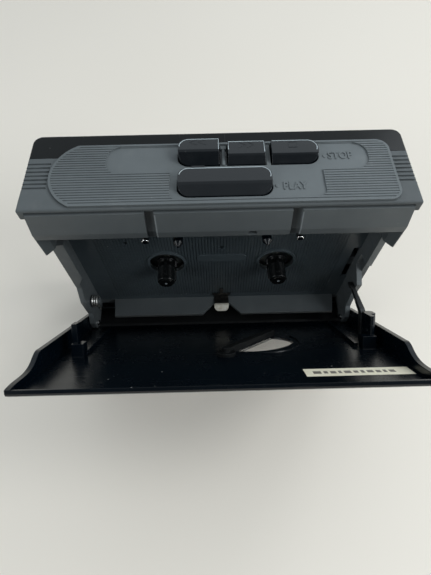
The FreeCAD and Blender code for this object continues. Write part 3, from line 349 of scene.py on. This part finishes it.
def leaf_spring():
    """Spring leaf: dark metal at its root and pale at its tip."""
    s = Shader("spring_leaf", IOR=1.5)
    bright = s.span(s.axis("Y"), (SPRING_TIP_Y - 0.5) * MM, SPRING_TIP_Y * MM, 1.0, 0.0)
    stain = s.span(s.noise(420.0, 4.0, 0.6), 0.35, 0.7)
    dark = s.mix(stain, (0.03, 0.03, 0.03, 1.0), (0.09, 0.085, 0.075, 1.0))
    pale = s.mix(stain, (0.80, 0.77, 0.68, 1.0), (0.55, 0.50, 0.40, 1.0))
    s.set("Base Color", s.mix(bright, dark, pale))
    s.set("Metallic", s.span(bright, 0.0, 1.0, 0.85, 0.25))
    s.set("Roughness", s.span(stain, 0.0, 1.0, 0.28, 0.42))
    s.set("Normal", s.bump(stain, 0.02, 0.4, s.rounded(0.15)))
    return s.material


def sleeve():
    """Blue shrink sleeve of a capacitor."""
    s = Shader("capacitor_sleeve", IOR=1.5)
    band = s.span(s.noise(160.0, 2.0), 0.4, 0.7)
    s.set("Base Color", s.mix(band, (0.012, 0.035, 0.12, 1.0), (0.02, 0.05, 0.16, 1.0)))
    s.set("Roughness", s.span(s.axis("Z"), 0.02, 0.06, 0.3, 0.36))
    s.set("Normal", s.bump(band, 0.02, 0.3, s.rounded(0.2)))
    return s.material


materials = {
    # case_grey carries painted shade on its low front lip
    "case_grey": moulded("case_grey", 0.085, wear=0.5, dust=0.25,
                         lip=(LIP_TOP_Z, LIP_FRONT_Y, LIP_HALF_WIDTH), Specular_IOR_Level=0.35),
    # panel_grey and frame_grey carry painted shade over their left ends
    "panel_grey": moulded("panel_grey", 0.136, across=0.78, wear=0.35, dust=0.3, bevel=0.12,
                          Specular_IOR_Level=0.35),
    "frame_grey": moulded("frame_grey", 0.1, across=0.8, wear=0.4, dust=0.25, rough=0.5,
                          groove=(REEL_X.values(), BAND_LOW_Z, BAND_HIGH_Z)),
    "deck_dark": moulded("deck_dark", 0.062, (0.78, 1.0, 1.12), wear=0.6, dust=0.6, rough=0.4,
                         bevel=0.1, film=0.0, settles=(-2.0, -1.5)),
    "cover_black": polished("cover_black", 0.006, rough=0.2, scratch=0.4, Specular_IOR_Level=0.12),
    "door_black": polished("door_black", 0.0022, (0.2, 1.0, 2.0), rough=0.24, scratch=0.3, dust=0.7,
                           Specular_IOR_Level=0.3),
    "arm_black": moulded("arm_black", 0.009, rough=0.45, wear=0.3),
    "key_black": moulded("key_black", 0.003, (0.5, 1.0, 1.6), rough=0.22, wear=0.3, dust=0.05,
                         film=0.0, bevel=0.2, Specular_IOR_Level=0.52),
    "spindle_black": polished("spindle_black", 0.004, rough=0.07, scratch=0.1, bevel=0.25, grime=0.1),
    # pale grey painted on the key tops as their highlight line
    "key_rim_highlight": moulded("key_rim_highlight", 0.48, rough=0.4, wear=0.1, film=0.8, dust=0.3,
                       settles=(-2.0, -1.5)),
    "label_ink": moulded("label_ink", 0.16, (1.1, 1.0, 0.85), rough=0.6, wear=0.1, film=0.5,
                         dust=0.6),
    # pale grey painted in the spindle tips as their highlight
    "spindle_tip_highlight": moulded("spindle_tip_highlight", 0.20, rough=0.4, wear=0.1, film=0.0),
    "black_plastic": moulded("black_plastic", 0.012, rough=0.42, wear=0.3, bevel=0.15),
    "white_plastic": moulded("white_plastic", 0.6, (1.0, 0.99, 0.94), rough=0.45, wear=0.1),
    "label_paper": label_paper(),
    "clear_pane": clear_pane(),
    "rubber": rubber(),
    "board_green": board_green(),
    "capacitor_sleeve": sleeve(),
    "spring_steel": metal("spring_steel", (0.62, 0.60, 0.56), 0.28),
    "chrome_steel": metal("chrome_steel", (0.80, 0.80, 0.79), 0.10, (1, 12, 1), 0.08),
    "plated_steel": metal("plated_steel", (0.60, 0.60, 0.55), 0.34),
    "screw_steel": metal("screw_steel", (0.26, 0.26, 0.27), 0.35, (3, 3, 3)),
    "motor_steel": metal("motor_steel", (0.55, 0.55, 0.55), 0.30, (1, 18, 1)),
    "brass": metal("brass", (0.72, 0.52, 0.24), 0.25, (1, 14, 1)),
    "head_metal": metal("head_metal", (0.72, 0.72, 0.72), 0.12, (1, 1, 20), 0.1),
}

slot_of = {row["node"]: row["material_slot"] for row in frame["record"]["subparts"]}
for name, cad in nodes.items():
    cad.data.materials.clear()
    cad.data.materials.append(materials[slot_of[name]])
nodes["cassette_spring"].data.materials[0] = leaf_spring()
nodes["locating_pins"].data.materials[0] = materials["door_black"]
bar_black = moulded("bar_black", 0.006, rough=0.6, wear=1.0, dust=0.2, film=0.0, Specular_IOR_Level=0.1)
nodes["window_bar"].data.materials[0] = bar_black
nodes["door_torsion_spring"].data.materials[0] = metal("bright_wire", (0.9, 0.88, 0.84), 0.3)


# ---- mesh building ------------------------------------------------------------------------
def add_piece(name, mesh, body, slot):
    """Object that rides a body and wears the material of a slot of the record."""
    made = bpy.data.objects.new(name, mesh)
    bpy.context.scene.collection.objects.link(made)
    made.data.materials.clear()
    made.data.materials.append(materials[slot])
    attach(made, body)
    return made


def mesh_from(name, build):
    """Mesh that a builder fills, with its faces turned outward."""
    mesh = bpy.data.meshes.new(name)
    work = bmesh.new()
    build(work)
    bmesh.ops.recalc_face_normals(work, faces=work.faces)
    work.to_mesh(mesh)
    work.free()
    return mesh


def door_matrix():
    """From door axes (X, along the door, inward from the hinge axis) to the row frame, in metres."""
    turn = Matrix.Rotation(DOOR_ANGLE, 4, "X")
    flip = Matrix(((1, 0, 0, 0), (0, 0, 1, 0), (0, 1, 0, 0), (0, 0, 0, 1)))
    move = Matrix.Translation(Vector((0, HINGE_Y, HINGE_Z)) * MM)
    return move @ turn @ flip @ Matrix.Scale(MM, 4)


DOOR = door_matrix()
ROW = Matrix.Scale(MM, 4)


def slab(low, high, bevel, at=ROW, segments=3):
    """Builder of a rounded block between two corners."""
    def build(work):
        made = bmesh.ops.create_cube(work, size=1.0)["verts"]
        for vert in made:
            vert.co = Vector(l + (c + 0.5) * (h - l) for l, c, h in zip(low, vert.co, high))
        bmesh.ops.bevel(work, geom=list(work.edges), offset=bevel, segments=segments, profile=0.5,
                        affect="EDGES")
        bmesh.ops.transform(work, matrix=at, verts=work.verts)
    return build


def strip(points, width, low, high, at=ROW, closed=False):
    """Builder of a flat raised line of one width that follows points in the first two axes."""
    def build(work):
        count = len(points)
        rings = []
        for index, (x, y) in enumerate(points):
            before = points[index - 1] if index or closed else points[index]
            after = points[(index + 1) % count] if index < count - 1 or closed else points[index]
            along = Vector((after[0] - before[0], after[1] - before[1])).normalized()
            side = Vector((-along.y, along.x)) * width / 2
            slim = side * 0.7
            corners = [(x - side.x, y - side.y, low), (x + side.x, y + side.y, low),
                       (x + slim.x, y + slim.y, high), (x - slim.x, y - slim.y, high)]
            rings.append([work.verts.new(c) for c in corners])
        pairs = list(zip(rings, rings[1:]))
        if closed:
            pairs.append((rings[-1], rings[0]))
        for a, b in pairs:
            for k in range(4):
                work.faces.new((a[k], a[(k + 1) % 4], b[(k + 1) % 4], b[k]))
        if not closed:
            work.faces.new(rings[0])
            work.faces.new(list(reversed(rings[-1])))
        bmesh.ops.transform(work, matrix=at, verts=work.verts)
    return build


def arc_points(centre, radius, start, end, count):
    """Points on an arc, with angles in degrees."""
    turns = [math.radians(start + (end - start) * i / (count - 1)) for i in range(count)]
    return [(centre[0] + radius * math.cos(a), centre[1] + radius * math.sin(a)) for a in turns]


def disc(centre, radius, low, high, at=ROW, sides=40, crown=0.35):
    """Builder of a round button with a chamfered upper edge."""
    def build(work):
        rings = []
        turns = [2 * math.pi * i / sides for i in range(sides)]
        for r, z in ((radius, low), (radius, high - crown * 0.5), (radius - crown * 0.5, high)):
            around = [(centre[0] + r * math.cos(a), centre[1] + r * math.sin(a), z) for a in turns]
            rings.append([work.verts.new(corner) for corner in around])
        for a, b in zip(rings, rings[1:]):
            for i in range(sides):
                j = (i + 1) % sides
                work.faces.new((a[i], a[j], b[j], b[i]))
        work.faces.new(rings[-1])
        work.faces.new(list(reversed(rings[0])))
        bmesh.ops.transform(work, matrix=at, verts=work.verts)
    return build


def put(name, build, body, slot, material=None):
    """Piece made by a builder.

    A material named here is worn instead of the slot's own, because the record has no slot for it.
    """
    made = add_piece(name, mesh_from(name, build), body, slot)
    if material:
        made.data.materials[0] = materials[material]
    return made


def words(name, text, centre, size, z, body, slot):
    """Raised capital letters in a plain face, as a mesh."""
    curve = bpy.data.curves.new(name, "FONT")
    curve.body = text
    curve.align_x, curve.align_y = "CENTER", "CENTER"
    curve.size = size * MM
    curve.extrude = 0.16 * MM
    curve.bevel_depth = 0.08 * MM
    curve.resolution_u = 3
    scratch = bpy.data.objects.new(name + "_curve", curve)
    bpy.context.scene.collection.objects.link(scratch)
    bpy.context.view_layer.update()
    mesh = bpy.data.meshes.new_from_object(scratch)
    bpy.data.objects.remove(scratch)
    narrow = Matrix.Diagonal((0.78, 1.0, 1.0, 1.0))
    mesh.transform(Matrix.Translation(Vector((centre[0], centre[1], z)) * MM) @ narrow)
    mesh.name = name
    return add_piece(name, mesh, body, slot)


# ---- control panel ------------------------------------------------------------------------
words("legend_stop", "STOP", (36.6, 3.3), 4.0, RECESS_Z + 0.02, "case", "panel_grey")
words("legend_play", "PLAY", (21.8, -8.25), 3.9, RECESS_Z + 0.02, "case", "panel_grey")
put("legend_dot_stop", disc((32.0, 3.3), 0.7, RECESS_Z - 0.05, RECESS_Z + 0.2), "case", "panel_grey")
put("legend_dot_play", disc((16.7, -8.05), 0.65, RECESS_Z - 0.05, RECESS_Z + 0.2), "case", "panel_grey")


def key_marks():
    """Fast-wind arrows and a stop square, each a thin raised outline on its key."""
    arrows = (("rewind_button", -6.0, 6.6, REWIND_TOP_Z, -1),
              ("fast_forward_button", 8.5, 6.4, KEY_TOP_Z, 1))
    for body, x0, y, z, facing in arrows:
        for index in (0, 1):
            x = x0 + (index - 0.5) * 2.6
            tri = [(x - facing * 1.1, y - 1.1), (x + facing * 1.1, y), (x - facing * 1.1, y + 1.1)]
            mark = strip(tri, 0.22, z - 0.05, z + 0.09, closed=True)
            put(f"mark_{body}_{index}", mark, body, "key_black")
    square = [(21.1, 5.0), (23.6, 5.0), (23.6, 7.2), (21.1, 7.2)]
    mark = strip(square, 0.22, KEY_TOP_Z - 0.05, KEY_TOP_Z + 0.09, closed=True)
    put("mark_stop_button", mark, "stop_button", "key_black")


key_marks()


def key_rims():
    """Painted highlight line along the rear and right edges of each key top."""
    def bend(x, y, start, end, count):
        return arc_points((x, y), KEY_ARC_R, start, end, count)

    paths = {
        "rewind_button": (bend(-8.7, 5.0, 180, 90, 9) + [(0.1, 7.85), (0.1, 3.6)], REWIND_TOP_Z),
        "fast_forward_button": ([(3.1, 4.6), (3.1, 7.85), (13.8, 7.85), (13.8, 3.4)], KEY_TOP_Z),
        "stop_button": ([(16.2, 7.85)] + bend(26.7, 5.0, 90, -25, 11), KEY_TOP_Z),
        "play_button": (bend(-8.7, -5.5, 170, 90, 9) + bend(12.0, -5.5, 90, -20, 11), KEY_TOP_Z),
    }
    for body, (path, top) in paths.items():
        put(f"rim_{body}", strip(path, 0.3, top - 0.1, top + 0.03), body, "key_black", "key_rim_highlight")


key_rims()


def key_divider():
    """T-shaped rib of the panel between the fast-wind keys, and flat dark strips beside it as painted
    shade in its gaps.
    """
    left, right = 0.72, 2.48
    put("divider_stem", slab((1.15, 0.3, WELL_Z), (2.05, 7.4, 88.75), 0.12), "case", "panel_grey")
    put("divider_head", slab((left, 6.6, WELL_Z), (right, 7.9, 88.8), 0.12), "case", "panel_grey")
    # flat dark strips painted as the shade of the gaps beside the rib
    for side, x0, x1 in (("left", left, 1.1), ("right", 2.1, right)):
        gap = slab((x0, 0.4, WELL_Z), (x1, 6.5, 88.29), 0.02, segments=1)
        put(f"divider_gap_shade_{side}", gap, "case", "key_black")


key_divider()


def spindle_dots():
    """Pale dot in the tip of each tape spindle, a painted highlight."""
    tip = Matrix.Translation(Vector((0, SPINDLE_TIP_Y, SPINDLE_Z)) * MM)
    face = tip @ Matrix.Rotation(math.radians(90), 4, "X") @ ROW
    for body, x in REEL_X.items():
        dot = disc((x, 0), 0.5, -0.1, 0.08, face, 16, 0.1)
        put(f"spindle_tip_highlight_{body}", dot, body, "spindle_black", "spindle_tip_highlight")


spindle_dots()
put("panel_tab", slab((-8.1, -0.75, WELL_Z), (-4.1, 0.02, 88.95), 0.15), "case", "key_black")


# ---- door details -------------------------------------------------------------------------
def window_rim():
    """Thin raised line that follows the lower right edge of the window on the inner face."""
    curve = arc_points((15.6, 28.6), 13.2, -32.0, 98.0, 36)
    line = strip(curve, 0.7, DOOR_IN_FACE - 0.05, DOOR_IN_FACE + 0.35, DOOR)
    put("window_rim", line, "door", "door_black")


window_rim()


def label_marks():
    """A row of plain worn blocks, in place of printed characters."""
    widths = [3.1, 1.6, 2.2, 1.2, 2.7, 1.8, 1.4, 2.5, 1.9, 1.3, 2.3]
    x = 26.2
    for index, width in enumerate(widths):
        low = (x, 60.9 + 0.12 * (index % 3), DOOR_IN_FACE - 0.1)
        high = (x + width * 0.75, 63.0 - 0.1 * (index % 2), DOOR_IN_FACE - 0.015)
        block = slab(low, high, 0.03, DOOR, 1)
        put(f"label_mark_{index:02d}", block, "door", "arm_black", "label_ink")
        x += width * 0.75 + 0.75


label_marks()


# ---- floor, light and camera --------------------------------------------------------------
def floor():
    """Plain pale table, faintly clouded."""
    def build(work):
        bmesh.ops.create_grid(work, x_segments=1, y_segments=1, size=2.5)

    mesh = mesh_from("floor", build)
    made = bpy.data.objects.new("floor", mesh)
    bpy.context.scene.collection.objects.link(made)
    s = Shader("floor_white", IOR=1.4, Roughness=0.6)
    cloud = s.noise(3.0, 2.0)
    dim, pale = (0.76, 0.70, 0.62, 1.0), (0.79, 0.73, 0.65, 1.0)
    s.set("Base Color", s.mix(s.span(cloud, 0.3, 0.7), dim, pale))
    made.data.materials.append(s.material)


def area_light(name, place, target, size, power, colour):
    """Round soft light that faces a target; places in metres, power in watts."""
    data = bpy.data.lights.new(name, "AREA")
    data.shape = "DISK"
    data.size = size
    data.energy = power
    data.color = colour
    made = bpy.data.objects.new(name, data)
    made.location = place
    made.rotation_euler = (Vector(target) - Vector(place)).to_track_quat("-Z", "Y").to_euler()
    bpy.context.scene.collection.objects.link(made)


def surroundings():
    """Soft room light: bright overhead and on the right, dark low down in front."""
    world = bpy.data.worlds.new("room")
    bpy.context.scene.world = world
    world.use_nodes = True
    tree = world.node_tree
    background = tree.nodes["Background"]
    place = tree.nodes.new("ShaderNodeTexCoord")
    split = tree.nodes.new("ShaderNodeSeparateXYZ")
    tree.links.new(place.outputs["Generated"], split.inputs[0])

    def ramp(axis, low, high, dim, bright):
        made = tree.nodes.new("ShaderNodeMapRange")
        tree.links.new(split.outputs[axis], made.inputs["Value"])
        for key, value in zip(RANGE_SOCKETS, (low, high, dim, bright)):
            made.inputs[key].default_value = value
        return made.outputs["Result"]

    def product(a, b):
        made = tree.nodes.new("ShaderNodeMath")
        made.operation = "MULTIPLY"
        tree.links.new(a, made.inputs[0])
        tree.links.new(b, made.inputs[1])
        return made.outputs[0]

    level = product(ramp("Y", -0.8, 0.6, 0.10, 0.92), ramp("X", -0.8, 0.8, 0.82, 1.2))
    level = product(level, ramp("Z", 0.0, 0.6, 0.75, 1.0))
    tree.links.new(level, background.inputs["Strength"])
    background.inputs["Color"].default_value = (0.91, 1.0, 1.06, 1.0)


def camera():
    """Looks steeply down from in front of the door."""
    down, roll, yaw = (math.radians(a) for a in (CAMERA_DOWN, CAMERA_ROLL, CAMERA_YAW))
    turn = Matrix(((math.cos(yaw), math.sin(yaw), 0), (-math.sin(yaw), math.cos(yaw), 0), (0, 0, 1)))
    pitch = Matrix(((1, 0, 0), (0, math.sin(down), math.cos(down)),
                    (0, math.cos(down), -math.sin(down))))
    right, up, ahead = (row.copy() for row in pitch @ turn)
    right, up = (right * math.cos(roll) + up * math.sin(roll),
                 up * math.cos(roll) - right * math.sin(roll))
    data = bpy.data.cameras.new("camera")
    data.lens = CAMERA_LENS
    data.sensor_width = CAMERA_SENSOR
    data.clip_start, data.clip_end = 0.005, 10.0
    made = bpy.data.objects.new("camera", data)
    axes = Matrix((right, up, -ahead)).transposed()
    made.matrix_world = Matrix.Translation(Vector(CAMERA_PLACE) * MM) @ axes.to_4x4()
    bpy.context.scene.collection.objects.link(made)
    bpy.context.scene.camera = made


floor()
surroundings()
area_light("right_light", (0.75, -0.42, 0.62), (0, -0.04, 0.02), 0.5, 4.4, DAYLIGHT)
area_light("left_light", (-0.75, -0.5, 0.5), (0, -0.04, 0.02), 0.5, 2.2, DAYLIGHT)
area_light("top_light", (0.68, 0.02, 0.72), (0, -0.03, 0.02), 0.3, 2.0, (0.97, 1.0, 1.0))
area_light("back_light", (0.5, 0.5, 0.65), (0, 0, 0.08), 0.35, 0.9, (0.95, 1.0, 1.04))
camera()

bpy.context.scene.view_settings.view_transform = "Standard"
